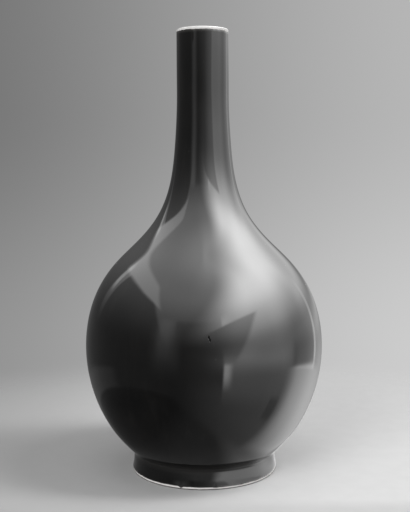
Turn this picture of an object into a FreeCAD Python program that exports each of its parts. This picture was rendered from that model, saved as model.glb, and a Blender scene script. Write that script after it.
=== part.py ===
import FreeCAD, Part
import math
import os

# Porcelain bottle vase in millimetres: round belly, long neck, low foot ring.
# It stands on z = 0 with its axis on Z, and its origin is the middle of the foot.

# Outline of the glazed outside, from the foot up
foot_height = 17.2
belly_rise = 98.2
shoulder_rise = 229.6
neck_straight_height = 55.0
foot_waist_radius = 65.2
foot_flare = 1.8
belly_radius = 108.2
neck_radius = 23.35
crease_round = 5.0
crease_angle = 44.0

# Stations of the belly between the foot's crease and the widest point
lower_height_shares = (0.19, 0.42, 0.70)
lower_radius_shares = (0.391, 0.705, 0.922)

# Stations of the shoulder, from the widest point up to the neck's joint
shoulder_height_shares = (0.12, 0.23, 0.33, 0.42, 0.52)
shoulder_radius_shares = (0.036, 0.142, 0.329, 0.575, 0.790)

# Stations of the neck's spread foot, above its joint
neck_height_shares = (0.64, 0.80)
neck_radius_shares = (0.917, 0.977)

# Walls of the thrown clay
low_wall = 7.5
belly_wall = 6.0
neck_wall = 4.0
floor_thickness = 8.0
floor_flat_radius = 42.0

# Foot ring and the hollow under the floor
foot_ring_wall = 8.5
foot_edge_round = 0.8
recess_depth = 9.5
recess_round = 3.0

# Lip of the neck
lip_outer_round = 1.2
lip_inner_round = 2.0

# Glazes
coat_thickness = 0.5
lining_thickness = 0.4
foot_bare_height = 1.8
lip_band_height = 2.75
lip_band_inside = 6.0
base_bare_height = 2.6

# Luted joints, each with a layer of slip
slip_thickness = 1.0
foot_joint_drop = 1.0
foot_joint_rise_angle = 25.0
belly_joint_fall_angle = 20.0

# Places that follow from the sizes above
full_turn = 360.0
widest_height = foot_height + belly_rise
neck_start_height = widest_height + shoulder_rise
top_height = neck_start_height + neck_straight_height
crease_turn = math.radians(crease_angle)
crease_centre_radius = foot_waist_radius + crease_round
crease_centre_height = foot_height - crease_round * math.tan(crease_turn / 2)
flare_radius = (crease_centre_height ** 2 + foot_flare ** 2) / (2 * foot_flare)
recess_radius = foot_waist_radius - coat_thickness - foot_ring_wall
floor_height = recess_depth + floor_thickness
bore_radius = neck_radius - coat_thickness - neck_wall
reach = top_height + belly_radius

upright = FreeCAD.Vector(0, 0, 1)
outwards = FreeCAD.Vector(1, 0, 0)
axis_foot = FreeCAD.Vector(0, 0, 0)


def spot(radius, height):
    return FreeCAD.Vector(radius, 0, height)


def straight(start, end):
    return Part.makeLine(start, end)


def corner_arc(start, end, centre):
    # Quarter-like arc from start to end around a centre
    radius = (start - centre).Length
    middle = (start + end) / 2 - centre
    middle.normalize()
    return Part.Arc(start, centre + middle * radius, end).toShape()


def spun(edges):
    # Solid of revolution from the edges of a closed half section
    wire = Part.Wire(edges)
    face = Part.Face(wire)
    return face.revolve(axis_foot, upright, full_turn)


def only_solid(shape):
    return shape.Solids[0]


def foot_side_radius(height, inset):
    # The foot's side is an upright curve that flares towards the ground
    bulge = math.sqrt((flare_radius + inset) ** 2 - (crease_centre_height - height) ** 2)
    return foot_waist_radius + flare_radius - bulge


def foot_side(height, inset):
    # Side of the foot from a given height up to the crease
    low = spot(foot_side_radius(height, inset), height)
    middle_height = (height + crease_centre_height) / 2
    middle = spot(foot_side_radius(middle_height, inset), middle_height)
    high = spot(foot_waist_radius - inset, crease_centre_height)
    return Part.Arc(low, middle, high).toShape()


def crease(inset):
    # Hollow curve where the belly springs from the foot
    centre = spot(crease_centre_radius, crease_centre_height)
    radius = crease_round + inset
    start = centre - outwards * radius
    end = centre + spot(-math.cos(crease_turn), math.sin(crease_turn)) * radius
    return corner_arc(start, end, centre)


def outline_stations():
    # Points of the glazed outside from the crease to the straight neck
    stations = [crease(0).Vertexes[-1].Point]
    for height_share, radius_share in zip(lower_height_shares, lower_radius_shares):
        radius = foot_waist_radius + radius_share * (belly_radius - foot_waist_radius)
        stations.append(spot(radius, foot_height + height_share * belly_rise))
    stations.append(spot(belly_radius, widest_height))
    height_shares = shoulder_height_shares + neck_height_shares
    radius_shares = shoulder_radius_shares + neck_radius_shares
    for height_share, radius_share in zip(height_shares, radius_shares):
        radius = belly_radius - radius_share * (belly_radius - neck_radius)
        stations.append(spot(radius, widest_height + height_share * shoulder_rise))
    stations.append(spot(neck_radius, neck_start_height))
    return stations


def smooth_curve(stations, start_direction):
    # Even curve through the stations that leaves in a direction and ends upright
    curve = Part.BSplineCurve()
    curve.interpolate(
        Points=stations,
        InitialTangent=start_direction,
        FinalTangent=upright,
        Scale=False,
    )
    return curve


def inward_at(curve, station):
    # Direction square to the curve, towards the axis side
    tangent = curve.tangent(curve.parameter(station))[0]
    return FreeCAD.Vector(-tangent.z, 0, tangent.x)


def sunk_stations(curve, stations, depths):
    sunk = []
    for station, depth in zip(stations, depths):
        sunk.append(station + inward_at(curve, station) * depth)
    return sunk


def wall_at(height):
    # Clay wall: thick above the foot, thinner up the belly, thinnest at the neck
    if height < widest_height:
        share = (height - foot_height) / belly_rise
        return low_wall + share * (belly_wall - low_wall)
    share = (height - widest_height) / shoulder_rise
    return belly_wall + share * (neck_wall - belly_wall)


leaving_crease = spot(math.sin(crease_turn), math.cos(crease_turn))
outline = outline_stations()
coat_curve = smooth_curve(outline, leaving_crease)

clay_stations = sunk_stations(coat_curve, outline, [coat_thickness] * len(outline))
clay_curve = smooth_curve(clay_stations, leaving_crease)

walls = [wall_at(station.z) for station in clay_stations]
hollow_stations = sunk_stations(clay_curve, clay_stations, walls)[1:]
hollow_stations.insert(0, spot(floor_flat_radius, floor_height))
hollow_curve = smooth_curve(hollow_stations, outwards)

lining_stations = sunk_stations(hollow_curve, hollow_stations, [lining_thickness] * len(hollow_stations))
lining_curve = smooth_curve(lining_stations, outwards)


def lip_over(outer_radius, inner_radius, height, outer_round, inner_round):
    # Rounded top edge of the neck, from its outer side over to its inner side
    outer_centre = spot(outer_radius - outer_round, height - outer_round)
    inner_centre = spot(inner_radius + inner_round, height - inner_round)
    outer_top = outer_centre + upright * outer_round
    inner_top = inner_centre + upright * inner_round
    outer_side = outer_centre + outwards * outer_round
    inner_side = inner_centre - outwards * inner_round
    outer_arc = corner_arc(outer_side, outer_top, outer_centre)
    inner_arc = corner_arc(inner_top, inner_side, inner_centre)
    return [outer_arc, straight(outer_top, inner_top), inner_arc]


def clay_lip():
    outer_round = lip_outer_round - coat_thickness
    inner_round = lip_inner_round - lining_thickness
    clay_top = top_height - coat_thickness
    return lip_over(neck_radius - coat_thickness, bore_radius, clay_top, outer_round, inner_round)


def glazed_lip():
    inner_radius = bore_radius - lining_thickness
    return lip_over(neck_radius, inner_radius, top_height, lip_outer_round, lip_inner_round)


def recess_outline(inset, low_height):
    # Underside of the floor and the inner side of the foot ring, down to a given height
    centre = spot(recess_radius - recess_round, recess_depth - recess_round)
    radius = recess_round - inset
    ceiling_end = centre + upright * radius
    wall_start = centre + outwards * radius
    ceiling = straight(spot(0, recess_depth - inset), ceiling_end)
    corner = corner_arc(ceiling_end, wall_start, centre)
    wall = straight(wall_start, spot(recess_radius - inset, low_height))
    return [ceiling, corner, wall]


def foot_sole():
    # Flat resting ring of bare clay with both of its edges rounded
    side_radius = foot_side_radius(foot_edge_round, coat_thickness)
    inner_centre = spot(recess_radius + foot_edge_round, foot_edge_round)
    outer_centre = spot(side_radius - foot_edge_round, foot_edge_round)
    inner_foot = inner_centre - upright * foot_edge_round
    outer_foot = outer_centre - upright * foot_edge_round
    inner_arc = corner_arc(spot(recess_radius, foot_edge_round), inner_foot, inner_centre)
    outer_arc = corner_arc(outer_foot, spot(side_radius, foot_edge_round), outer_centre)
    return [inner_arc, straight(inner_foot, outer_foot), outer_arc]


def whole_clay():
    # The thrown pot before it is parted at its joints
    lip = clay_lip()
    edges = recess_outline(0, foot_edge_round)
    edges += foot_sole()
    edges.append(foot_side(foot_edge_round, coat_thickness))
    edges.append(crease(coat_thickness))
    edges.append(clay_curve.toShape())
    edges.append(straight(clay_stations[-1], lip[0].Vertexes[0].Point))
    edges += lip
    edges.append(straight(lip[-1].Vertexes[-1].Point, hollow_stations[-1]))
    edges.append(hollow_curve.toShape())
    edges.append(straight(hollow_stations[0], spot(0, floor_height)))
    edges.append(straight(spot(0, floor_height), spot(0, recess_depth)))
    return spun(edges)


def outer_coat():
    # Dark glaze over the whole outside, stopped above the foot's edge and below the lip
    band_height = top_height - lip_band_height
    coat_end = spot(neck_radius, band_height)
    clay_end = spot(neck_radius - coat_thickness, band_height)
    coat_foot = spot(foot_side_radius(foot_bare_height, 0), foot_bare_height)
    clay_foot = spot(foot_side_radius(foot_bare_height, coat_thickness), foot_bare_height)
    edges = [foot_side(foot_bare_height, 0), crease(0), coat_curve.toShape()]
    edges.append(straight(outline[-1], coat_end))
    edges.append(straight(coat_end, clay_end))
    edges.append(straight(clay_end, clay_stations[-1]))
    edges.append(clay_curve.toShape())
    edges.append(crease(coat_thickness))
    edges.append(foot_side(foot_bare_height, coat_thickness))
    edges.append(straight(clay_foot, coat_foot))
    return spun(edges)


def lip_band():
    # White glaze over the lip, from the dark coat outside to the lining inside
    outer_end = spot(neck_radius, top_height - lip_band_height)
    outer_clay = outer_end - outwards * coat_thickness
    inner_clay = spot(bore_radius, top_height - lip_band_inside)
    inner_end = inner_clay - outwards * lining_thickness
    over = glazed_lip()
    under = clay_lip()
    edges = [straight(outer_end, over[0].Vertexes[0].Point)]
    edges += over
    edges.append(straight(over[-1].Vertexes[-1].Point, inner_end))
    edges.append(straight(inner_end, inner_clay))
    edges.append(straight(inner_clay, under[-1].Vertexes[-1].Point))
    edges += reversed(under)
    edges.append(straight(under[0].Vertexes[0].Point, outer_clay))
    edges.append(straight(outer_clay, outer_end))
    return spun(edges)


def inside_lining():
    # Clear glaze over the whole hollow, up to the lip band
    clay_end = spot(bore_radius, top_height - lip_band_inside)
    lining_end = clay_end - outwards * lining_thickness
    clay_middle = spot(0, floor_height)
    lining_middle = spot(0, floor_height + lining_thickness)
    edges = [straight(clay_middle, hollow_stations[0]), hollow_curve.toShape()]
    edges.append(straight(hollow_stations[-1], clay_end))
    edges.append(straight(clay_end, lining_end))
    edges.append(straight(lining_end, lining_stations[-1]))
    edges.append(lining_curve.toShape())
    edges.append(straight(lining_stations[0], lining_middle))
    edges.append(straight(lining_middle, clay_middle))
    return spun(edges)


def base_lining():
    # Clear glaze under the floor, inside the foot ring
    clay_side = recess_outline(0, base_bare_height)
    open_side = recess_outline(lining_thickness, base_bare_height)
    clay_middle = spot(0, recess_depth)
    open_middle = spot(0, recess_depth - lining_thickness)
    clay_end = spot(recess_radius, base_bare_height)
    open_end = clay_end - outwards * lining_thickness
    edges = clay_side + [straight(clay_end, open_end)]
    edges += reversed(open_side)
    edges.append(straight(open_middle, clay_middle))
    return spun(edges)


def below(crossing, rise_angle):
    # Everything under a cone through one point, rising outwards at the given angle
    slope = math.tan(rise_angle)
    middle = spot(0, crossing.z - slope * crossing.x)
    rim = spot(reach, middle.z + slope * reach)
    under_rim = spot(reach, -reach)
    under_middle = spot(0, -reach)
    corners = [middle, rim, under_rim, under_middle, middle]
    return spun([straight(start, end) for start, end in zip(corners, corners[1:])])


def joint(crossing, rise_angle):
    # Two parallel cones with one layer of slip between them
    across = spot(-math.sin(rise_angle), math.cos(rise_angle)) * (slip_thickness / 2)
    return below(crossing - across, rise_angle), below(crossing + across, rise_angle)


def foot_joint():
    height = recess_depth - recess_round - foot_joint_drop
    return joint(spot(recess_radius, height), math.radians(foot_joint_rise_angle))


def belly_joint():
    # Falls outwards at the widest point
    widest = clay_stations[len(lower_height_shares) + 1]
    return joint(widest, -math.radians(belly_joint_fall_angle))


def neck_joint():
    # Square to the wall where the shoulder turns up into the neck
    joint_station = len(lower_height_shares) + 1 + len(shoulder_height_shares)
    crossing = clay_stations[joint_station]
    inward = inward_at(clay_curve, crossing)
    return joint(crossing, math.atan(inward.z / inward.x))


def thrown_sections():
    clay = whole_clay()
    under_foot_slip, over_foot_slip = foot_joint()
    under_belly_slip, over_belly_slip = belly_joint()
    under_neck_slip, over_neck_slip = neck_joint()
    return {
        "foot_ring": clay.common(under_foot_slip),
        "foot_seam": clay.common(over_foot_slip).cut(under_foot_slip),
        "lower_body": clay.common(under_belly_slip).cut(over_foot_slip),
        "belly_seam": clay.common(over_belly_slip).cut(under_belly_slip),
        "upper_body": clay.common(under_neck_slip).cut(over_belly_slip),
        "neck_seam": clay.common(over_neck_slip).cut(under_neck_slip),
        "neck": clay.cut(over_neck_slip),
    }


pieces = thrown_sections()
pieces["outer_glaze"] = outer_coat()
pieces["lip_glaze"] = lip_band()
pieces["inner_glaze"] = inside_lining()
pieces["base_glaze"] = base_lining()

os.makedirs("parts", exist_ok=True)
for name, shape in pieces.items():
    piece = only_solid(shape)
    piece.exportStep(os.path.join("parts", name + ".step"))
    print(name, "solids", len(shape.Solids), "valid", piece.isValid(), "volume", round(piece.Volume))
print("bore radius", bore_radius - lining_thickness, "recess radius", recess_radius)
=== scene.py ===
# %% [markdown]
# # A dark-glazed porcelain bottle vase
# The vase is turned on a wheel, so nearly every piece of it is an outline swung round one axis.
# The construction model gives the exact places of all its pieces. This lesson loads that model,
# makes finer skins for the glazes and the foot, and gives each surface its own finish.

# %% Load the construction model
import math

import bmesh
import bpy
import numpy as np
from mathutils import Matrix, Vector


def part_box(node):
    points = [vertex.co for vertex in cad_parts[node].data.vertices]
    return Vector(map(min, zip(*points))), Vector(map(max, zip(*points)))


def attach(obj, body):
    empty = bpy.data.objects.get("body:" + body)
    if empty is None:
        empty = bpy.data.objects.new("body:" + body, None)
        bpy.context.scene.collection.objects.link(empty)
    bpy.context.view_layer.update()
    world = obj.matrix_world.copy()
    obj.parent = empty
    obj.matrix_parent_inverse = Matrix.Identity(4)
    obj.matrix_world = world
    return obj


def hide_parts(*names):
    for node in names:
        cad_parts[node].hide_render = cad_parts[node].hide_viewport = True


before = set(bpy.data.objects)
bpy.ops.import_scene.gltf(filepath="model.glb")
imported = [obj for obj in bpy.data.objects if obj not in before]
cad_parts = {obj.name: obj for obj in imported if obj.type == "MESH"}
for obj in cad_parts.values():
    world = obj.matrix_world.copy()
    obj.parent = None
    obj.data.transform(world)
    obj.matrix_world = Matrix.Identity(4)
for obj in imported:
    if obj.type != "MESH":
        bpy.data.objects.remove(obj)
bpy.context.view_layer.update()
print("construction nodes:", sorted(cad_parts))

# %% [markdown]
# ## The sizes of the pot
# The boxes of the nodes say how tall and how wide each piece is. What a box can't say, such as
# where the belly turns in towards the neck, is repeated here in metres, as the pot is built.
# The belly's and the shoulder's places are shares of the way between two known sizes.

# %% Sizes that the nodes give
mm = 0.001
coat_low, coat_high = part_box("outer_glaze")
lip_low, lip_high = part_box("lip_glaze")
belly_radius = coat_high.x
neck_radius = lip_high.x
top_height = lip_high.z
foot_border, lip_border = coat_low.z, coat_high.z
ring_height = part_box("foot_ring")[1].z
lining_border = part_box("inner_glaze")[1].z
base_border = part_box("base_glaze")[0].z
print("belly radius", round(belly_radius / mm, 2), "mm, neck radius", round(neck_radius / mm, 2), "mm")
print("dark glaze from", round(foot_border / mm, 2), "to", round(lip_border / mm, 2), "mm up")

# %% Sizes of the turned outline
foot_height = 17.2 * mm
belly_rise = 98.2 * mm
shoulder_rise = 229.6 * mm
foot_waist_radius = 65.2 * mm
foot_flare = 1.8 * mm
crease_round = 5.0 * mm
crease_turn = math.radians(44.0)
belly_height_shares = (0.19, 0.42, 0.70)
belly_radius_shares = (0.391, 0.705, 0.922)
shoulder_height_shares = (0.12, 0.23, 0.33, 0.42, 0.52, 0.64, 0.80)
shoulder_radius_shares = (0.036, 0.142, 0.329, 0.575, 0.790, 0.917, 0.977)
widest_height = foot_height + belly_rise
neck_start_height = widest_height + shoulder_rise
crease_height = foot_height - crease_round * math.tan(crease_turn / 2)
crease_radius = foot_waist_radius + crease_round
flare_radius = (crease_height ** 2 + foot_flare ** 2) / (2 * foot_flare)
print("widest at", round(widest_height / mm, 1), "mm up")
print("straight neck from", round(neck_start_height / mm, 1), "mm up")

# %% Walls, floor and glazes
coat_thickness = 0.5 * mm
lining_thickness = 0.4 * mm
low_wall, belly_wall, neck_wall = 7.5 * mm, 6.0 * mm, 4.0 * mm
floor_height = 17.5 * mm
floor_flat_radius = 42.0 * mm
recess_depth = 9.5 * mm
recess_round = 3.0 * mm
recess_radius = 56.2 * mm
foot_edge_round = 0.8 * mm
lip_outer_round, lip_inner_round = 1.2 * mm, 2.0 * mm
bore_radius = neck_radius - coat_thickness - neck_wall
lined_radius = bore_radius - lining_thickness
print("bore radius", round(bore_radius / mm, 2), "mm, lined", round(lined_radius / mm, 2), "mm")

# %% [markdown]
# ## One smooth curve through a few stations
# A mirror-like glaze shows every small fault of a curve, because a reflection bends with the
# surface's slope. Straight runs between stations, or arcs that only touch, would leave rings in the
# reflections. A cubic curve whose bend changes evenly from station to station leaves none, so the
# outline is solved once here: the bends at all stations together, as a thin steel lath would lie.

# %% The lath curve
outwards, upright = np.array([1.0, 0.0]), np.array([0.0, 1.0])


def lath(stations, start_way):
    # Places along the lath, its stations and its bend at each of them; it ends upright
    stations = np.array(stations, float)
    gaps = np.hypot(*np.diff(stations, axis=0).T)
    count = len(stations)
    pull = np.zeros((count, count))
    load = np.zeros((count, 2))
    runs = np.diff(stations, axis=0) / gaps[:, None]
    pull[0, :2] = 2 * gaps[0], gaps[0]
    load[0] = 6 * (runs[0] - start_way)
    pull[-1, -2:] = gaps[-1], 2 * gaps[-1]
    load[-1] = 6 * (upright - runs[-1])
    for i in range(1, count - 1):
        pull[i, i - 1 : i + 2] = gaps[i - 1], 2 * (gaps[i - 1] + gaps[i]), gaps[i]
        load[i] = 6 * (runs[i] - runs[i - 1])
    bends = np.linalg.solve(pull, load)
    return np.concatenate([[0.0], np.cumsum(gaps)]), stations, bends


def trace(curve, lengths):
    # Points of the lath at these lengths along it, and its direction there
    knots, stations, bends = curve
    lengths = np.atleast_1d(lengths)
    span = np.clip(np.searchsorted(knots, lengths, side="right") - 1, 0, len(knots) - 2)
    gap = (knots[span + 1] - knots[span])[:, None]
    b = ((lengths - knots[span]) / gap[:, 0])[:, None]
    a = 1 - b
    low, high = stations[span], stations[span + 1]
    bow = ((a ** 3 - a) * bends[span] + (b ** 3 - b) * bends[span + 1]) * gap ** 2 / 6
    turn = ((3 * b ** 2 - 1) * bends[span + 1] - (3 * a ** 2 - 1) * bends[span]) * gap / 6
    ways = (high - low) / gap + turn
    return a * low + b * high + bow, ways / np.hypot(*ways.T)[:, None]


def sampled(curve, step):
    whole = curve[0][-1]
    return trace(curve, np.linspace(0.0, whole, int(whole / step) + 1))


def sunk(points, ways, depth):
    # The same points moved square to the curve, towards the axis side
    depth = np.broadcast_to(depth, len(points))[:, None]
    return points + np.column_stack([-ways[:, 1], ways[:, 0]]) * depth


# %% The belly's and the hollow's curves
leaving_crease = np.array([math.sin(crease_turn), math.cos(crease_turn)])
crease_end_radius = crease_radius - crease_round * math.cos(crease_turn)
crease_end_height = crease_height + crease_round * math.sin(crease_turn)
stations = [np.array([crease_end_radius, crease_end_height])]
for height_share, radius_share in zip(belly_height_shares, belly_radius_shares):
    radius = foot_waist_radius + radius_share * (belly_radius - foot_waist_radius)
    stations.append(np.array([radius, foot_height + height_share * belly_rise]))
stations.append(np.array([belly_radius, widest_height]))
for height_share, radius_share in zip(shoulder_height_shares, shoulder_radius_shares):
    radius = belly_radius - radius_share * (belly_radius - neck_radius)
    stations.append(np.array([radius, widest_height + height_share * shoulder_rise]))
stations.append(np.array([neck_radius, neck_start_height]))
belly_curve = lath(stations, leaving_crease)


def wall_at(height):
    # Clay wall: thick above the foot, thinner up the belly, thinnest at the neck
    low_share = np.clip((height - foot_height) / belly_rise, 0.0, 1.0)
    high_share = np.clip((height - widest_height) / shoulder_rise, 0.0, 1.0)
    return low_wall + low_share * (belly_wall - low_wall) + high_share * (neck_wall - belly_wall)


clay_points = sunk(*trace(belly_curve, belly_curve[0]), coat_thickness)
clay_curve = lath(clay_points, leaving_crease)
hollow_points = sunk(*trace(clay_curve, clay_curve[0]), wall_at(clay_points[:, 1]))[1:]
floor_edge = np.array([[floor_flat_radius, floor_height]])
hollow_curve = lath(np.concatenate([floor_edge, hollow_points]), outwards)
lining_points = sunk(*trace(hollow_curve, hollow_curve[0]), lining_thickness)
lining_curve = lath(lining_points, outwards)
print("outline from crease to neck is", round(belly_curve[0][-1] / mm, 1), "mm long")

# %% [markdown]
# ## Swinging an outline round the axis
# A potter's wheel turns the clay past one outline, and Blender's spin operator does the same: a
# chain of edges swings round and leaves a sheet of faces. The sheet could also be lofted by hand,
# but the operator keeps the points in even rings. A full turn in fine steps takes it long, so it
# swings one sector and then copies of that, and equal points are merged, also those on the axis.

# %% Spin a sheet
turn_steps = 480
sectors = 24
weld_gap = 0.001 * mm
ring_gap = 0.02 * mm
round_the_axis = {
    "cent": (0, 0, 0), "axis": (0, 0, 1), "dvec": (0, 0, 0),
    "use_merge": False, "use_normal_flip": False,
}


def spun_sheet(bm, points, steps=turn_steps):
    # Sheet of revolution from (radius, height) points: a sector is spun, then copied round the axis
    before = set(bm.faces)
    verts = [bm.verts.new((radius, 0.0, height)) for radius, height in points]
    edges = [bm.edges.new(pair) for pair in zip(verts, verts[1:])]
    part = math.tau / sectors
    bmesh.ops.spin(
        bm, geom=verts + edges, angle=part, steps=steps // sectors,
        use_duplicate=False, **round_the_axis,
    )
    sector = [face for face in bm.faces if face not in before]
    bmesh.ops.spin(
        bm, geom=sector, angle=math.tau - part, steps=sectors - 1,
        use_duplicate=True, **round_the_axis,
    )
    sheet = [face for face in bm.faces if face not in before]
    sheet_verts = list({vert for face in sheet for vert in face.verts})
    bmesh.ops.remove_doubles(bm, verts=sheet_verts, dist=weld_gap)
    return list({vert for face in bm.faces if face not in before for vert in face.verts})


def ring_at(verts, radius, height):
    # Edges of the ring that runs through this radius and height
    ring = set()
    for vert in verts:
        beside = math.hypot(vert.co.x, vert.co.y) - radius
        if math.hypot(vert.co.z - height, beside) < ring_gap:
            ring.add(vert)
    return [edge for edge in {e for v in ring for e in v.link_edges} if set(edge.verts) <= ring]


def finished(name, bm, nodes=()):
    # Closes the mesh, turns its faces outwards and makes the piece ride on the body
    bmesh.ops.remove_doubles(bm, verts=bm.verts, dist=weld_gap)
    bmesh.ops.recalc_face_normals(bm, faces=bm.faces)
    mesh = bpy.data.meshes.new(name)
    bm.to_mesh(mesh)
    open_edges = sum(1 for edge in bm.edges if len(edge.link_faces) != 2)
    longest = max(edge.calc_length() for edge in bm.edges)
    bm.free()
    mesh.shade_smooth()
    piece = bpy.data.objects.new(name, mesh)
    bpy.context.scene.collection.objects.link(piece)
    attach(piece, "root")
    if nodes:
        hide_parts(*nodes)
    print(name, "faces", len(mesh.polygons), "open edges", open_edges)
    print("    longest edge", round(longest / mm, 1), "mm")
    return piece


# %% [markdown]
# ## What makes it hand-made
# The dark glaze doesn't stop on a drawn line. It ran down from the lip while it was molten, so the
# white band is narrow on one side and wide on the other, and at the foot one tongue of glaze
# reached the very edge. Both borders are given as a height for each direction round the pot. At the
# lip the pieces on both sides of the border use the same one, so that they still meet; at the foot
# the coat ends over the bare ring.

# %% Borders of the dark glaze
def ripple(angle, waves):
    # Sum of a few waves round the pot: (how many, how high in mm, where the first one stands)
    return sum(height * math.sin(count * angle + start) for count, height, start in waves) * mm


def lip_rise(angle):
    # How far the dark glaze climbs over its mean border below the lip
    lean = 0.25 - 0.15 * math.cos(angle) - 0.85 * max(math.cos(angle), 0.0) ** 4
    waves = ((5, 0.05, 1.0), (9, 0.06, 2.2), (17, 0.06, 0.4), (31, 0.06, 1.7))
    return lean * mm + ripple(angle, waves)


def bell(angle, middle, width):
    # 1 at one bearing round the pot, falling off to 0 on both sides
    gap = (angle - middle + math.pi) % math.tau - math.pi
    return math.exp(-(gap / width) ** 2)


tongue_width = math.radians(0.9)
tongues = (
    (math.radians(252.0), 1.6 * mm), (math.radians(278.0), 0.6 * mm), (math.radians(299.0), 0.4 * mm),
)


def foot_drop(angle):
    # How far the dark glaze runs below its mean border above the foot's edge
    waves = ((4, 0.06, 0.3), (11, 0.07, 2.0), (23, 0.06, 1.1), (37, 0.05, 0.2))
    drop = ripple(angle, waves) - 0.7 * mm
    for middle, length in tongues:
        drop += length * bell(angle, middle, tongue_width)
    return drop


def eased(value, low, high):
    share = min(max((value - low) / (high - low), 0.0), 1.0)
    return share * share * (3 - 2 * share)


largest_wave = 2.6
uneven_depth = 0.05 * mm


def unevenness(angle, height):
    # Slow rises and hollows of a surface that a hand has turned, in metres, never outwards
    climb = height / belly_rise
    wave = math.sin(2 * angle + 9.0 * climb) + math.sin(3 * angle - 5.0 * climb + 1.0)
    wave += 0.6 * math.sin(5 * angle + 14.0 * climb + 2.0)
    return -uneven_depth * (largest_wave - wave) / largest_wave


run_angle, run_width = math.radians(249.5), math.radians(0.8)
run_depth = 0.22 * mm


def run(angle, height):
    # A thin run of glaze that starts under the lip, left of the middle
    below = lip_border - height
    start = eased(below, 0.0, 3 * mm)
    end = 1 - eased(below, 7 * mm, 10 * mm)
    return run_depth * start * end * bell(angle, run_angle, run_width)


# Heights over which the unevenness and the shifts of the two borders fade
sole_zone, lip_zone, foot_zone = 12 * mm, 12 * mm, 5 * mm


def settle(verts, outer):
    # Moves a sheet's borders to their uneven lines, and its outer side by the slow unevenness
    for vert in verts:
        angle = math.atan2(vert.co.y, vert.co.x)
        height = vert.co.z
        radius = math.hypot(vert.co.x, vert.co.y)
        if outer:
            radius += unevenness(angle, height) * eased(height, 0.0, sole_zone) + run(angle, height)
        height += lip_rise(angle) * eased(height, lip_border - lip_zone, lip_border)
        height -= foot_drop(angle) * (1 - eased(height, foot_border, foot_border + foot_zone))
        vert.co = (radius * math.cos(angle), radius * math.sin(angle), height)


# %% [markdown]
# ## The dark coat
# The coat is a skin of glaze half a millimetre thick over the whole outside. It could be a sheet
# with no thickness, but then its edges at the lip and at the foot would look like paint. So it gets
# an outer and an inner sheet, and a narrow rim is spun between them at each border. Bridging the two
# rings looks simpler, but they share one centre, so the bridge may cross to the far side of the
# mouth. The outer corners get a bevel, as surface tension rounds a molten edge.

# %% Outline of the outside
row_step = 3.2 * mm
close_rows_depth = 14 * mm


def foot_side(inset, low, rows):
    heights = np.linspace(low, crease_height, rows)
    bulge = np.sqrt((flare_radius + inset) ** 2 - (crease_height - heights) ** 2)
    return np.column_stack([foot_waist_radius + flare_radius - bulge, heights])


def crease(inset, rows):
    turns = np.linspace(math.pi, math.pi - crease_turn, rows)
    radius = crease_round + inset
    return np.column_stack([crease_radius + radius * np.cos(turns), crease_height + radius * np.sin(turns)])


def outside(inset, step, low, high, rows):
    # Foot's side, crease, belly and shoulder, and the straight neck up to a height
    belly = sunk(*sampled(belly_curve, step), inset)
    close_rows = high - close_rows_depth
    neck_heights = np.concatenate([
        np.linspace(neck_start_height, close_rows, rows)[1:-1], np.linspace(close_rows, high, rows),
    ])
    neck = np.column_stack([np.full(len(neck_heights), neck_radius - inset), neck_heights])
    return np.concatenate([foot_side(inset, low, rows)[:-1], crease(inset, rows)[:-1], belly, neck])


outer_outline = outside(0.0, row_step, foot_border, lip_border, 9)
inner_outline = outside(coat_thickness, 5 * row_step, foot_border, lip_border, 5)
print("rows in the coat's outline", len(outer_outline), "outside and", len(inner_outline), "inside")


# %% Two sheets, joined and rounded
def joined_sheets(bm, outer_points, inner_points, steps=turn_steps):
    # Two sheets and the narrow rims between their ends; an end on the axis needs no rim
    outer = spun_sheet(bm, outer_points, steps)
    inner = spun_sheet(bm, inner_points, steps)
    borders = []
    for end in (0, -1):
        if outer_points[end][0] > ring_gap:
            rim = spun_sheet(bm, [outer_points[end], inner_points[end]], steps)
            kept = outer + inner
            pairs = bmesh.ops.find_doubles(bm, verts=rim + kept, keep_verts=kept, dist=weld_gap)
            bmesh.ops.weld_verts(bm, targetmap=pairs["targetmap"])
            borders += ring_at(outer, *outer_points[end])
    bmesh.ops.recalc_face_normals(bm, faces=bm.faces)
    return outer, inner, borders


def rounded(bm, edges, size, segments):
    # Narrow bevel, as surface tension rounds a molten edge
    bmesh.ops.bevel(
        bm, geom=edges, offset=size, offset_type="OFFSET", segments=segments,
        profile=0.5, affect="EDGES", material=-1, clamp_overlap=True,
    )


def shell(bm, outer_points, inner_points, rounding, steps=turn_steps, shaped=False):
    # Skin between two outlines; ends that lie on the axis stay closed by the merge
    outer, inner, borders = joined_sheets(bm, outer_points, inner_points, steps)
    if shaped:
        settle(outer, True)
        settle(inner, False)
    rounded(bm, borders, rounding, 3)


coat_mesh = bmesh.new()
shell(coat_mesh, outer_outline, inner_outline, 0.2 * mm, shaped=True)
coat = finished("glaze_coat", coat_mesh, ["outer_glaze"])

# %% [markdown]
# ## The white lip
# Over the lip the dark glaze drained away and left white glaze. The band goes from the coat's
# border over the rounded edge and a few millimetres down the bore. The lip's two rounds are arcs
# of a few points, so the top edge isn't a sharp tube end.

# %% Lip band
def arc(centre, radius, start, end, rows):
    turns = np.radians(np.linspace(start, end, rows))
    return np.column_stack([centre[0] + radius * np.cos(turns), centre[1] + radius * np.sin(turns)])


def over_lip(inset_out, inset_in, rows):
    # Lip's outline from the outer side over the top to the inner side
    outer_round, inner_round = lip_outer_round - inset_out, lip_inner_round - inset_in
    outer_centre = (neck_radius - lip_outer_round, top_height - lip_outer_round)
    inner_centre = (lined_radius + lip_inner_round, top_height - inset_out - inner_round)
    outer_arc = arc(outer_centre, outer_round, 0, 90, rows)
    return np.concatenate([outer_arc, arc(inner_centre, inner_round, 90, 180, rows)])


def down_side(radius, start, end, rows):
    heights = np.linspace(start, end, rows)
    return np.column_stack([np.full(rows, radius), heights])


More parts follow.
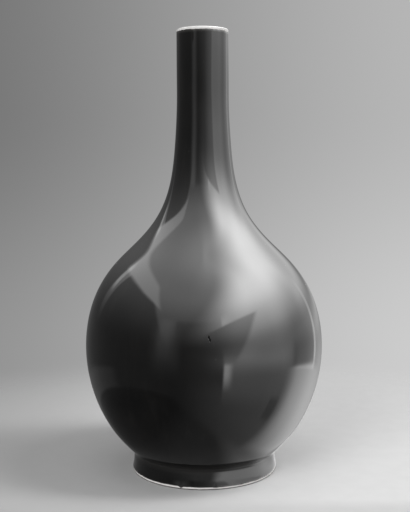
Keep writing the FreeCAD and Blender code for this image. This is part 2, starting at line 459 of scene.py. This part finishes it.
def lip_outline(inset_out, inset_in, rows):
    over = over_lip(inset_out, inset_in, rows)
    up = down_side(neck_radius - inset_out, lip_border, over[0][1], 5)[:-1]
    down = down_side(lined_radius + inset_in, over[-1][1], lip_low.z, 4)[1:]
    return np.concatenate([up, over, down])


lip_mesh = bmesh.new()
glazed = lip_outline(0.0, 0.0, 8)
clay_lip = lip_outline(coat_thickness, lining_thickness, 8)
outer_verts, inner_verts, lip_edges = joined_sheets(lip_mesh, glazed, clay_lip)
straight_top = top_height - lip_outer_round
for vert in outer_verts + inner_verts:
    on_outer_side = math.hypot(vert.co.x, vert.co.y) > bore_radius + neck_wall / 2
    if on_outer_side and vert.co.z < straight_top:
        share = 1 - eased(vert.co.z, lip_border, straight_top)
        vert.co.z += lip_rise(math.atan2(vert.co.y, vert.co.x)) * share
rounded(lip_mesh, lip_edges, 0.12 * mm, 2)
lip_band = finished("lip_band", lip_mesh, ["lip_glaze"])

# %% [markdown]
# ## The foot ring
# The pot stands on a ring of bare clay. Its sole was wiped clean of glaze so that it wouldn't stick
# to the kiln shelf, and its two edges were rounded with a wet sponge. One closed outline is swung
# round the axis: the inner side, the sole, the outer side and the sloping top that meets the slip.

# %% Ring of clay
ring_turn_steps = 360
sole_radius = foot_side(coat_thickness, foot_edge_round, 2)[0][0]
inner_edge = arc((recess_radius + foot_edge_round, foot_edge_round), foot_edge_round, 180, 270, 7)
outer_edge = arc((sole_radius - foot_edge_round, foot_edge_round), foot_edge_round, -90, 0, 7)
ring_side = foot_side(coat_thickness, foot_edge_round, 14)[1:]
ring_side = ring_side[ring_side[:, 1] < ring_height]
joint_slope = math.tan(math.radians(25.0))
ring_top_radius = ring_side[-1][0]
inner_top = ring_height - joint_slope * (ring_top_radius - recess_radius)
inner_side = down_side(recess_radius, inner_top, foot_edge_round, 5)[1:-1]
inner_corner, outer_corner = [recess_radius, inner_top], [ring_top_radius, ring_height]
ring_outline = np.concatenate([
    [inner_corner], inner_side, inner_edge, outer_edge, ring_side, [outer_corner, inner_corner],
])
ring_mesh = bmesh.new()
spun_sheet(ring_mesh, ring_outline, ring_turn_steps)
foot = finished("foot_clay", ring_mesh, ["foot_ring"])

# %% [markdown]
# ## The lining and the base glaze
# The inside is coated with clear glaze, which shows through the mouth, and so is the underside of
# the floor within the ring. Both are thin closed skins, like the coat, but with fewer steps round
# the axis because their curves are seen from further off.

# %% Lining of the hollow
hidden_turn_steps = 240
thin_rounding = 0.1 * mm


def hollow_side(curve, top_radius, floor, step):
    flat = np.column_stack([np.linspace(0.0, floor_flat_radius, 6)[:-1], np.full(5, floor)])
    curved = sampled(curve, step)[0]
    neck = down_side(top_radius, neck_start_height, lining_border, 8)[1:]
    return np.concatenate([flat, curved, neck])


lining_mesh = bmesh.new()
shell(
    lining_mesh,
    hollow_side(lining_curve, lined_radius, floor_height + lining_thickness, 2 * row_step),
    hollow_side(hollow_curve, bore_radius, floor_height, 2 * row_step),
    thin_rounding, hidden_turn_steps,
)
lining = finished("glaze_lining", lining_mesh, ["inner_glaze"])


# %% Glaze under the floor
def recess_outline(inset):
    centre = (recess_radius - recess_round, recess_depth - recess_round)
    round_radius = recess_round - inset
    ceiling = np.column_stack([np.linspace(0.0, centre[0], 8)[:-1], np.full(7, centre[1] + round_radius)])
    side = down_side(centre[0] + round_radius, centre[1], base_border, 5)[1:]
    return np.concatenate([ceiling, arc(centre, round_radius, 90, 0, 8), side])


base_mesh = bmesh.new()
shell(base_mesh, recess_outline(lining_thickness), recess_outline(0.0), thin_rounding, hidden_turn_steps)
base = finished("glaze_base", base_mesh, ["base_glaze"])

# %% [markdown]
# ## Finishes, and how they are put together
# Each finish is a small graph of nodes. A helper adds one node, sets its choices and inputs, and
# links an input when it is given another node's output. All patterns read Object coordinates, so
# they stay on the pot from any side, and they are in metres, so a scale of 400 gives grains of
# about two and a half millimetres.

# %% Node helpers
def node(tree, kind, inputs=None, **choices):
    made = tree.nodes.new(kind)
    for name, value in choices.items():
        setattr(made, name, value)
    for name, value in (inputs or {}).items():
        if isinstance(value, bpy.types.NodeSocket):
            tree.links.new(value, made.inputs[name])
        else:
            made.inputs[name].default_value = value
    return made


def sums(tree, operation, first, second):
    return node(tree, "ShaderNodeMath", {0: first, 1: second}, operation=operation).outputs[0]


def ease(tree, value, low, high, start=0.0, end=1.0):
    # Soft step of a value from one level to another
    inputs = {"Value": value, "From Min": low, "From Max": high, "To Min": start, "To Max": end}
    return node(tree, "ShaderNodeMapRange", inputs, interpolation_type="SMOOTHSTEP").outputs[0]


def noise(tree, vector, scale, detail=2.0, rough=0.5):
    inputs = {"Vector": vector, "Scale": scale, "Detail": detail, "Roughness": rough}
    return node(tree, "ShaderNodeTexNoise", inputs).outputs["Fac"]


def stretched(tree, vector, scale, offset=(0.0, 0.0, 0.0)):
    return node(tree, "ShaderNodeMapping", {"Vector": vector, "Scale": scale, "Location": offset}).outputs[0]


def mixed(tree, factor, first, second):
    made = node(tree, "ShaderNodeMix", data_type="RGBA", clamp_factor=True)
    for socket, value in zip((made.inputs[0], made.inputs[6], made.inputs[7]), (factor, first, second)):
        if isinstance(value, bpy.types.NodeSocket):
            tree.links.new(value, socket)
        else:
            socket.default_value = value
    return made.outputs[2]


def bumped(tree, height, depth, under=None):
    inputs = {"Height": height, "Distance": depth, "Strength": 1.0}
    if under is not None:
        inputs["Normal"] = under
    return node(tree, "ShaderNodeBump", inputs).outputs[0]


def new_finish(name):
    # Material with an empty graph, its surface shader and the Object coordinates
    finish = bpy.data.materials.new(name)
    finish.use_nodes = True
    tree = finish.node_tree
    tree.nodes.clear()
    shader = node(tree, "ShaderNodeBsdfPrincipled")
    node(tree, "ShaderNodeOutputMaterial", {"Surface": shader.outputs[0]})
    return finish, tree, shader, node(tree, "ShaderNodeTexCoord").outputs["Object"]


def height_in(tree, place):
    return node(tree, "ShaderNodeSeparateXYZ", {0: place}).outputs["Z"]


def grey(level, warmth=0.0):
    return (level * (1 + warmth), level, level * (1 - warmth), 1.0)


print("finishes are made of Object-space patterns in metres")

# %% [markdown]
# ## Dark glaze
# A black iron glaze is nearly opaque and hard as glass. Its colour hardly shows: what one sees is
# the room in its surface. So the colour is a near-black with slow clouds, slightly paler where the
# glaze is thin at the lip and the foot, with a band of painted light in the crease over the foot.
# Most of the work is in the slope of the surface: slow waves from the wheel, a fine orange peel,
# faint turning rings, a few pinholes, and one larger pit on the front of the belly. Brightness
# painted on one side would look wrong as soon as one walks round the pot.

# %% Dark glaze
def close_to(tree, vector, place, size):
    # 1 in the middle of an oval spot on the surface, 0 outside it
    spot = node(tree, "ShaderNodeVectorMath", {0: vector, 1: place}, operation="SUBTRACT").outputs[0]
    share = node(tree, "ShaderNodeVectorMath", {0: spot, 1: size}, operation="DIVIDE").outputs[0]
    reach = node(tree, "ShaderNodeVectorMath", {0: share}, operation="LENGTH").outputs["Value"]
    return ease(tree, reach, 0.35, 1.0, 1.0, 0.0)


def speckles(tree, vector, scale, size):
    # Sparse round spots of a given share of their spacing
    cells = node(tree, "ShaderNodeTexVoronoi", {"Vector": vector, "Scale": scale}, feature="F1")
    near = ease(tree, cells.outputs["Distance"], size * 0.4, size, 1.0, 0.0)
    pick = node(tree, "ShaderNodeSeparateColor", {0: cells.outputs["Color"]}).outputs[0]
    return sums(tree, "MULTIPLY", near, ease(tree, pick, 0.80, 0.82))


dark_glaze, tree, shader, place = new_finish("dark_glaze")
height = height_in(tree, place)
clouds = noise(tree, place, 14.0, 3.0)
streaks = noise(tree, stretched(tree, place, (1.0, 1.0, 0.12)), 90.0, 3.0)
body = mixed(tree, ease(tree, clouds, 0.35, 0.7), grey(0.003), grey(0.006, 0.04))
body = mixed(tree, ease(tree, streaks, 0.55, 0.75, 0.0, 0.35), body, grey(0.012, 0.05))
edge_noise = sums(tree, "MULTIPLY", noise(tree, place, 700.0), 1.2 * mm)
above, below = sums(tree, "ADD", height, edge_noise), sums(tree, "SUBTRACT", height, edge_noise)
near_lip = ease(tree, above, lip_border - 2.2 * mm, lip_border + 0.6 * mm)
near_foot = ease(tree, below, foot_border + 1.4 * mm, foot_border - 0.6 * mm)
thin = sums(tree, "MAXIMUM", near_lip, near_foot)
body = mixed(tree, sums(tree, "MULTIPLY", thin, 0.3), body, grey(0.085, 0.06))
# Painted light: the crease over the foot gets a paler colour, so that it looks less dark than the shade it
# mirrors.
over_foot = ease(tree, height, 12 * mm, 17 * mm)
painted_crease_light = sums(tree, "MULTIPLY", over_foot, ease(tree, height, 19 * mm, 27 * mm, 0.6, 0.0))
body = mixed(tree, painted_crease_light, body, grey(0.018, 0.05))
specks = speckles(tree, place, 95.0, 0.035)
body = mixed(tree, sums(tree, "MULTIPLY", specks, 0.7), body, grey(0.16, 0.03))
tree.links.new(body, shader.inputs["Base Color"])

# %% Dark glaze's surface
smudges = noise(tree, place, 38.0, 4.0, 0.6)
tree.links.new(ease(tree, smudges, 0.45, 0.8, 0.045, 0.12), shader.inputs["Roughness"])
pit_size = (0.8 * mm, 30.0 * mm, 1.7 * mm)
pit_top = close_to(tree, place, (4.0 * mm, -105.0 * mm, 141.4 * mm), pit_size)
pit_foot = close_to(tree, place, (4.9 * mm, -105.0 * mm, 139.3 * mm), pit_size)
pit = sums(tree, "MAXIMUM", pit_top, pit_foot)
pinholes = speckles(tree, stretched(tree, place, (1.0, 1.0, 1.0), (0.3, 0.1, 0.2)), 70.0, 0.028)
slope = bumped(tree, noise(tree, place, 28.0, 1.0), 0.16 * mm)
slope = bumped(tree, noise(tree, place, 420.0, 1.0), 0.0022 * mm, slope)
rings = noise(tree, stretched(tree, place, (0.06, 0.06, 1.0)), 260.0, 1.0)
slope = bumped(tree, rings, 0.003 * mm, slope)
slope = bumped(tree, pinholes, -0.25 * mm, slope)
slope = bumped(tree, pit, -0.2 * mm, slope)
tree.links.new(slope, shader.inputs["Normal"])
gloss = ease(tree, height, shoulder_rise, neck_start_height, 0.5, 0.42)
gloss = sums(tree, "MULTIPLY", gloss, ease(tree, pit, 0.0, 0.3, 1.0, 0.0))
tree.links.new(gloss, shader.inputs["Specular IOR Level"])
shader.inputs["IOR"].default_value = 1.52
coat.data.materials.append(dark_glaze)
print("dark glaze:", len(tree.nodes), "nodes")

# %% [markdown]
# ## White glaze and clear glaze
# Over the lip the glaze is a clear one over white clay, so its colour is that of the clay with a
# few pale clouds, and it turns slightly darker at the border where the dark glaze has bled into it.
# The lining and the base have the same glaze, with fine pinholes and a faint grey-green in its
# thicker places.

# %% White glaze on the lip
white_glaze, tree, shader, place = new_finish("white_glaze")
height = height_in(tree, place)
clouds = noise(tree, place, 160.0, 3.0)
body = mixed(tree, ease(tree, clouds, 0.3, 0.7), grey(0.80, 0.01), grey(0.72, 0.02))
bled = sums(tree, "ADD", height, sums(tree, "MULTIPLY", noise(tree, place, 900.0), 0.8 * mm))
bled = ease(tree, bled, lip_border + 1.4 * mm, lip_border - 0.2 * mm, 0.0, 0.35)
body = mixed(tree, bled, body, grey(0.32, 0.08))
tree.links.new(body, shader.inputs["Base Color"])
tree.links.new(ease(tree, noise(tree, place, 300.0), 0.3, 0.8, 0.10, 0.22), shader.inputs["Roughness"])
tree.links.new(bumped(tree, noise(tree, place, 500.0, 2.0), 0.006 * mm), shader.inputs["Normal"])
shader.inputs["IOR"].default_value = 1.5
shader.inputs["Specular IOR Level"].default_value = 0.2
lip_band.data.materials.append(white_glaze)
print("white glaze:", len(tree.nodes), "nodes")

# %% Clear glaze inside and under the floor
clear_glaze, tree, shader, place = new_finish("clear_glaze")
clouds = noise(tree, place, 45.0, 4.0)
body = mixed(tree, ease(tree, clouds, 0.3, 0.7), grey(0.78, 0.01), (0.70, 0.72, 0.69, 1.0))
specks = speckles(tree, place, 160.0, 0.05)
body = mixed(tree, sums(tree, "MULTIPLY", specks, 0.6), body, grey(0.22, 0.12))
tree.links.new(body, shader.inputs["Base Color"])
tree.links.new(ease(tree, noise(tree, place, 60.0), 0.3, 0.8, 0.08, 0.18), shader.inputs["Roughness"])
slope = bumped(tree, noise(tree, place, 60.0, 1.0), 0.05 * mm)
slope = bumped(tree, noise(tree, place, 600.0, 1.0), 0.003 * mm, slope)
tree.links.new(bumped(tree, specks, -0.1 * mm, slope), shader.inputs["Normal"])
shader.inputs["IOR"].default_value = 1.5
for piece in (lining, base):
    piece.data.materials.append(clear_glaze)
print("clear glaze:", len(tree.nodes), "nodes")

# %% [markdown]
# ## Bare porcelain and slip
# Where no glaze lies, fired porcelain is matt, fine-grained and a little warm. The sole carries
# fine turning lines and kiln grit, and its lowest millimetre is darkened in patches, a painted
# contact shadow under the foot's edge. The slip in the joints is the same clay, watered down, so it
# is a little greyer and has brush lines.

# %% Bare porcelain
bare_porcelain, tree, shader, place = new_finish("bare_porcelain")
height = height_in(tree, place)
clouds = noise(tree, place, 70.0, 4.0)
body = mixed(tree, ease(tree, clouds, 0.3, 0.7), grey(0.84, 0.015), grey(0.76, 0.03))
grit = speckles(tree, place, 420.0, 0.22)
body = mixed(tree, sums(tree, "MULTIPLY", grit, 0.5), body, grey(0.30, 0.12))
patchy = ease(tree, noise(tree, place, 240.0, 4.0), 0.2, 0.5, 0.7, 1.0)
# Painted shade: the ring's lowest millimetre is darkened in patches nearly to black, a painted contact shadow
# under the foot's edge.
painted_contact_shadow = sums(tree, "MULTIPLY", ease(tree, height, 1.3 * mm, 0.9 * mm), patchy)
body = mixed(tree, sums(tree, "MULTIPLY", painted_contact_shadow, 0.92), body, grey(0.05, 0.06))
tree.links.new(body, shader.inputs["Base Color"])
tree.links.new(ease(tree, noise(tree, place, 500.0), 0.3, 0.7, 0.62, 0.85), shader.inputs["Roughness"])
grain = bumped(tree, noise(tree, place, 2600.0, 3.0), 0.03 * mm)
lines = noise(tree, stretched(tree, place, (0.1, 0.1, 1.0)), 900.0, 1.0)
tree.links.new(bumped(tree, lines, 0.02 * mm, grain), shader.inputs["Normal"])
shader.inputs["Specular IOR Level"].default_value = 0.2
foot.data.materials.append(bare_porcelain)
print("bare porcelain:", len(tree.nodes), "nodes")

# %% Slip
slip, tree, shader, place = new_finish("slip")
body = mixed(tree, noise(tree, place, 120.0, 3.0), grey(0.76, 0.03), grey(0.64, 0.05))
tree.links.new(body, shader.inputs["Base Color"])
tree.links.new(ease(tree, noise(tree, place, 400.0), 0.3, 0.7, 0.7, 0.9), shader.inputs["Roughness"])
brush = noise(tree, stretched(tree, place, (0.15, 0.15, 1.0)), 700.0, 2.0)
tree.links.new(bumped(tree, brush, 0.05 * mm), shader.inputs["Normal"])
shader.inputs["Specular IOR Level"].default_value = 0.2

# %% [markdown]
# ## The clay under the glaze
# The thrown sections and their slip seams keep the construction model's own meshes. They lie under
# the skins and show only in a cut or where a skin is taken off, but they are finished all the same.

# %% Finish the carried-over nodes
for name, finish in (
    ("lower_body", bare_porcelain), ("upper_body", bare_porcelain), ("neck", bare_porcelain),
    ("foot_seam", slip), ("belly_seam", slip), ("neck_seam", slip),
):
    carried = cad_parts[name]
    carried.data.materials.clear()
    carried.data.materials.append(finish)
    print(name, "finished with", finish.name)

# %% [markdown]
# ## The sheet and the backdrop
# The vase stands on a pale sheet that sweeps up behind it. Its colour carries painted light and
# shade: darker on the left, paler on the right where the main light falls, and darker towards the
# front. A real sheet close behind the pot would stand in the way of a camera that goes round it, so
# the floor is a wide disc that thins out to nothing away from the pot, and the world behind it has
# the backdrop's tone by direction, painted light and shade: greyer on the left, paler on the right
# and towards the ground. Only camera rays see that tone. In the glaze the sheet glows instead of
# being lit, a painted reflection that shows dark on the pot's left and lit on its right, with a
# painted sheen that makes it brighter at a flat angle. From below it is see-through, so that the
# foot can be looked at.

# %% Floor
floor_radius = 1.2
floor_mesh = bmesh.new()
bmesh.ops.create_circle(floor_mesh, cap_ends=True, cap_tris=False, segments=96, radius=floor_radius)
floor_data = bpy.data.meshes.new("floor")
floor_mesh.to_mesh(floor_data)
floor_mesh.free()
floor = bpy.data.objects.new("floor", floor_data)
bpy.context.scene.collection.objects.link(floor)
sheet, tree, shader, place = new_finish("pale_sheet")
tree.nodes.remove(shader)
axes = node(tree, "ShaderNodeSeparateXYZ", {0: place})
# Painted light: the sheet's colour runs from darker on the left to paler on the right, where the main light
# falls.
painted_light_across = ease(tree, axes.outputs["X"], -0.30, 0.12)
tone = mixed(tree, painted_light_across, grey(0.44), grey(0.77))
tone = mixed(tree, ease(tree, noise(tree, place, 60.0, 4.0), 0.3, 0.7, 0.0, 0.05), tone, grey(0.40))
# Painted shade: the sheet darkens towards its front edge.
tone = mixed(tree, ease(tree, axes.outputs["Y"], -0.085, -0.115, 0.0, 0.3), tone, grey(0.40))
matt = node(tree, "ShaderNodeBsdfDiffuse", {"Color": tone})

# %% The floor as the glaze mirrors it, a painted glow, and where it thins out
# Painted reflection: for glossy rays the sheet is an emission instead of being lit, dark on the pot's left
# and lit on its right, with a painted sheen that brightens at a flat angle and fades towards the back.
grazing = ease(tree, node(tree, "ShaderNodeLayerWeight", {"Blend": 0.5}).outputs["Facing"], 0.35, 0.8)
to_left = ease(tree, axes.outputs["X"], -0.01, -0.09, 1.0, 0.35)
to_back = ease(tree, axes.outputs["Y"], -0.03, 0.012, 1.05, 0.42)
dark_part = sums(tree, "MULTIPLY", ease(tree, grazing, 0.0, 1.0, 0.17, 0.38), to_left)
lit_part = sums(tree, "MULTIPLY", ease(tree, grazing, 0.0, 1.0, 0.50, 2.5), to_back)
in_glaze = sums(tree, "SUBTRACT", lit_part, dark_part)
in_glaze = sums(tree, "MULTIPLY", in_glaze, ease(tree, axes.outputs["X"], 0.012, 0.042))
in_glaze = sums(tree, "ADD", in_glaze, dark_part)
painted_floor_glow = node(tree, "ShaderNodeEmission", {"Strength": in_glaze})
clear = node(tree, "ShaderNodeBsdfTransparent")
away = node(tree, "ShaderNodeVectorMath", {0: place}, operation="LENGTH").outputs["Value"]
paths = node(tree, "ShaderNodeLightPath")
glossy = paths.outputs["Is Glossy Ray"]
seen_end = ease(tree, away, 0.24, 0.52)
steep = sums(tree, "SUBTRACT", 1.0, grazing)
further_right = sums(tree, "ADD", away, sums(tree, "MULTIPLY", axes.outputs["X"], steep))
mirrored_end = sums(tree, "MULTIPLY", ease(tree, further_right, 0.118, 0.158), glossy)
from_below = node(tree, "ShaderNodeNewGeometry").outputs["Backfacing"]
share = sums(tree, "MAXIMUM", sums(tree, "MAXIMUM", seen_end, mirrored_end), from_below)
shown = node(tree, "ShaderNodeMixShader", {0: glossy, 1: matt.outputs[0], 2: painted_floor_glow.outputs[0]})
faded = node(tree, "ShaderNodeMixShader", {0: share, 1: shown.outputs[0], 2: clear.outputs[0]})
output = next(n for n in tree.nodes if n.type == "OUTPUT_MATERIAL")
tree.links.new(faded.outputs[0], output.inputs["Surface"])
floor_data.materials.append(sheet)
print("floor radius", floor_radius, "m")

# %% [markdown]
# ## The light
# One large soft light stands high on the right under a pale ceiling, and the left side is dark.
# Lamps of a plain level light the matt surfaces, so that a colour looks as it is written. What a
# mirror-like glaze shows is the studio itself, so the world holds the studio, by direction, for
# glossy rays only. Lamps bright enough to give these reflections would burn out the white lip.
# Two kinds of patch make up the studio. A panel is a range of bearing and of height above the
# horizon, in degrees: bearing 0 is towards the camera and 90 to the right. A card is an upright
# rectangle one metre away, with sides in metres, so that its straight edges bend in the belly as
# those of a real card do. Each edge is written with the width over which it fades. A flag takes
# its share of the light away.

# %% Directions in the studio
world = bpy.data.worlds.new("studio")
bpy.context.scene.world = world
world.use_nodes = True
world.cycles.sampling_method = "NONE"
tree = world.node_tree
tree.nodes.clear()
direction = node(tree, "ShaderNodeTexCoord").outputs["Generated"]
axes = node(tree, "ShaderNodeSeparateXYZ", {0: direction})
towards_camera = sums(tree, "MULTIPLY", axes.outputs["Y"], -1.0)
bearing = sums(tree, "MULTIPLY", sums(tree, "ARCTAN2", axes.outputs["X"], towards_camera), math.degrees(1))
rise = sums(tree, "MULTIPLY", sums(tree, "ARCSINE", axes.outputs["Z"], 0.0), math.degrees(1))


bearing_seam = 60.0


def past_the_back(angle):
    # Bearing that runs on from 180 to 300 degrees, so that a panel can cross the back
    turned = sums(tree, "FLOORED_MODULO", sums(tree, "ADD", angle, bearing_seam), 360.0)
    return sums(tree, "SUBTRACT", turned, bearing_seam)


def within(strength, sides):
    # What is left of a strength inside soft edges: (value, (edge, width of its fade), rising or not)
    for value, (edge, soft), rising in sides:
        side = ease(tree, value, edge - soft / 2, edge + soft / 2, 1.0 - rising, float(rising))
        strength = sums(tree, "MULTIPLY", strength, side)
    return strength


def leaning(value, other, lean):
    return sums(tree, "ADD", value, sums(tree, "MULTIPLY", other, lean)) if lean else value


def panel(az_from, az_to, low, high, strength, lean=0.0, measured=bearing):
    slanted = leaning(measured, rise, lean)
    sides = ((slanted, az_from, 1), (slanted, az_to, 0), (rise, low, 1), (rise, high, 0))
    return within(strength, sides)


def along(way):
    product = node(tree, "ShaderNodeVectorMath", {0: direction, 1: way}, operation="DOT_PRODUCT")
    return product.outputs["Value"]


def card(facing, left, right, low, high, strength, left_lean=0.0, right_lean=0.0):
    turn = math.radians(facing)
    ahead = sums(tree, "MAXIMUM", along((math.sin(turn), -math.cos(turn), 0.0)), 0.001)
    aside = sums(tree, "DIVIDE", along((math.cos(turn), math.sin(turn), 0.0)), ahead)
    upwards = sums(tree, "DIVIDE", axes.outputs["Z"], ahead)
    sides = ((leaning(aside, upwards, left_lean), left, 1), (leaning(aside, upwards, right_lean), right, 0))
    return within(strength, sides + ((upwards, low, 1), (upwards, high, 0)))


def lit(light, patches):
    for patch in patches.values():
        light = sums(tree, "ADD", light, patch)
    return light


def flagged(light, patches):
    for patch in patches.values():
        light = sums(tree, "MULTIPLY", light, sums(tree, "SUBTRACT", 1.0, patch))
    return light


# Edges that no direction reaches, and the height under the horizon where the mirrored floor ends
far_left, far_right, ground, zenith = (-400, 1), (400, 1), (-200, 1), (200, 1)
floor_rise = -15.5

# %% Ceiling, with the dark side on the left
studio = lit(0.0, {
    "ceiling": panel(far_left, far_right, (28, 56), zenith, 2.1),
    "ceiling over the pot": panel(far_left, far_right, (74, 44), zenith, 0.9),
    "ceiling in front": panel((-2, 60), (70, 60), (38, 30), zenith, 0.7),
    "strip over the left flag": card(-87, (-1.1, 0.1), (1.5, 0.25), (0.82, 0.1), (1.30, 0.16), 1.3, 0.0, 0.9),
})
studio = flagged(studio, {
    "left flag": card(-87, (-0.823, 0.06), (1.3, 0.2), ground, (0.83, 0.1), 0.62, -0.24, 0.9),
    "rear left flag": panel((-170, 20), (-132, 4), ground, (42, 6), 0.66),
    "flag under the lens": panel((-28, 4), (16, 20), ground, (26, 5), 0.30),
})

# %% Main light, cards and floor
to_right = ease(tree, axes.outputs["X"], -0.5, 0.7)
behind = past_the_back(bearing)
right_end = panel(far_left, far_right, (66, 36), zenith, 1.6)
floor_glow = panel(far_left, far_right, ground, (-20, 30), 0.5)
patches = {
    "ceiling's right end": sums(tree, "MULTIPLY", right_end, to_right),
    "main light": panel((-6, 60), (97, 84), (26, 46), (69, 34), 10.4, -0.8),
    "main light's corner": card(62, (-0.97, 0.06), (-0.75, 0.4), (0.554, 0.06), (0.75, 0.3), 1.5),
    "slit beside the left flag": panel((-131, 2), (-126, 2), (20, 8), (36, 6), 1.0),
    "low front card": panel((-48, 14), (-24, 10), (-10, 28), (22, 16), 0.2),
    "narrow left card": panel((-45, 10), (-31, 10), (2, 28), (26, 8), 0.35),
    "right card": panel((21, 52), (86, 30), (-8, 26), (24, 20), 2.1),
    "rear right card": panel((86, 30), (148, 60), (-48, 70), (24, 20), 1.3, 0.3, behind),
    "upper rear right card": panel((118, 20), (184, 24), (11, 14), (46, 24), 1.0, 0.0, behind),
    "pale rim behind": panel((130, 30), (181, 16), (-6, 6), (0, 8), 0.28, 0.0, behind),
    "low right card": panel((18, 3), (88, 20), (-26, 40), (-4, 12), 1.0),
    "floor": sums(tree, "MULTIPLY", floor_glow, to_right),
    "floor on the left": panel((-150, 40), (-96, 14), (-46, 40), (floor_rise, 3), 0.08),
    "lit floor": panel((93, 20), (130, 50), (-54, 56), (floor_rise, 3), 1.25),
    "lit floor's rim": panel((98, 16), (134, 6), (-16.5, 2), (-14, 2), 0.8),
    "narrow rear card": panel((130.5, 2), (135, 2), (-14, 4), (12, 30), 0.9),
    "small white card": panel((18.5, 3), (25, 8), (-24, 16), (-9, 4), 2.4),
    "pale edge in front": panel((-4, 44), (40, 40), (-14, 22), (8, 24), 0.24),
    "front glint": panel((17, 4), (48, 30), (-6, 6), (3, 8), 0.35),
}
studio = lit(studio, patches)
under_main_light = card(62, (-1.7, 1.0), (-0.51, 0.14), (-0.12, 0.25), (0.554, 0.07), 0.42, 0.0, -0.8)
studio = flagged(studio, {
    "flag under the main light": under_main_light,
    "rear right flag": panel((93, 8), (131, 3), (-15, 2), (-1, 10), 0.33),
    "small low flag": panel((74, 3), (87, 5), (-47, 6), (-33, 6), 0.35),
    "steep floor": panel(far_left, far_right, ground, (-58, 30), 0.3),
})
studio = sums(tree, "ADD", studio, ease(tree, rise, -5.0, -50.0, 0.13, 0.11))
print("patches of light:", ", ".join(patches))

# %% The backdrop's tone, with painted light and shade, and the plain fill
# Painted light and shade on the backdrop: greyer on the left, paler on the right where the main light falls,
# paler towards the ground and darker upwards.
painted_light_across = ease(tree, axes.outputs["X"], -0.34, 0.34)
sheet_tone = mixed(tree, painted_light_across, grey(0.36), grey(0.70))
low_tone = mixed(tree, painted_light_across, grey(0.27), grey(0.63))
high_tone = mixed(tree, painted_light_across, grey(0.165), grey(0.49))
painted_backdrop = mixed(tree, ease(tree, rise, -12.0, 4.0), low_tone, high_tone)
painted_backdrop = mixed(tree, ease(tree, rise, -12.5, -15.5), painted_backdrop, sheet_tone)
paths = node(tree, "ShaderNodeLightPath")
fill = node(tree, "ShaderNodeBackground", {"Color": grey(1.0), "Strength": 0.25})
seen_by_glaze = node(tree, "ShaderNodeBackground", {"Color": grey(1.0), "Strength": studio})
seen_by_camera = node(tree, "ShaderNodeBackground", {"Color": painted_backdrop, "Strength": 1.0})
shown = fill.outputs[0]
for ray, seen in (("Is Glossy Ray", seen_by_glaze), ("Is Camera Ray", seen_by_camera)):
    inputs = {0: paths.outputs[ray], 1: shown, 2: seen.outputs[0]}
    shown = node(tree, "ShaderNodeMixShader", inputs).outputs[0]
node(tree, "ShaderNodeOutputWorld", {"Surface": shown})

# %% Lamps at a plain level
lamp_target = Vector((0, 0, 0.2))


def soft_lamp(name, bearing_angle, rise_angle, distance, width, height, radiance):
    # Rectangle of even brightness that faces the pot; power follows from brightness times area
    data = bpy.data.lights.new(name, "AREA")
    data.shape = "RECTANGLE"
    data.size, data.size_y = width, height
    data.energy = radiance * math.pi * width * height
    turn, up = math.radians(bearing_angle), math.radians(rise_angle)
    way = Vector((math.sin(turn) * math.cos(up), -math.cos(turn) * math.cos(up), math.sin(up)))
    lamp = bpy.data.objects.new(name, data)
    bpy.context.scene.collection.objects.link(lamp)
    lamp.location = lamp_target + way * distance
    lamp.rotation_mode = "QUATERNION"
    lamp.rotation_quaternion = way.to_track_quat("Z", "Y")
    lamp.visible_camera = False
    lamp.visible_glossy = False
    print(name, "power", round(data.energy, 2), "W")


soft_lamp("main_light", 76, 52, 2.4, 0.7, 1.2, 12.4)
soft_lamp("ceiling_light", -20, 78, 2.6, 2.0, 2.0, 0.9)
soft_lamp("front_light", -30, 22, 2.4, 1.2, 1.2, 7.0)

# %% [markdown]
# ## The camera
# The outline, the lip's curve and the foot's curve in the photograph fix where the camera stood:
# 0.82 m from the axis, a little over two thirds of the way up, looking slightly down. The other
# views only move this camera, so it has no shift and no blur of depth.

# %% Camera
camera_distance = 0.8169
camera_height = 0.2780
focal_length_in_pixels, picture_height_in_pixels = 896.6, 512
camera_data = bpy.data.cameras.new("camera")
camera_data.sensor_width = 36.0
camera_data.lens = focal_length_in_pixels / picture_height_in_pixels * camera_data.sensor_width
camera_data.clip_start, camera_data.clip_end = 0.02, 20.0
camera = bpy.data.objects.new("camera", camera_data)
bpy.context.scene.collection.objects.link(camera)
pitch, yaw, roll = math.radians(-5.67), math.radians(-0.098), math.radians(-0.268)
turned = Matrix.Rotation(math.pi / 2 + pitch, 4, "X") @ Matrix.Rotation(roll, 4, "Z")
turned = Matrix.Rotation(yaw, 4, "Z") @ turned
camera.matrix_world = Matrix.Translation((0, -camera_distance, camera_height)) @ turned
bpy.context.scene.camera = camera
bpy.context.scene.view_settings.view_transform = "Standard"
print("lens", round(camera_data.lens, 2), "mm")
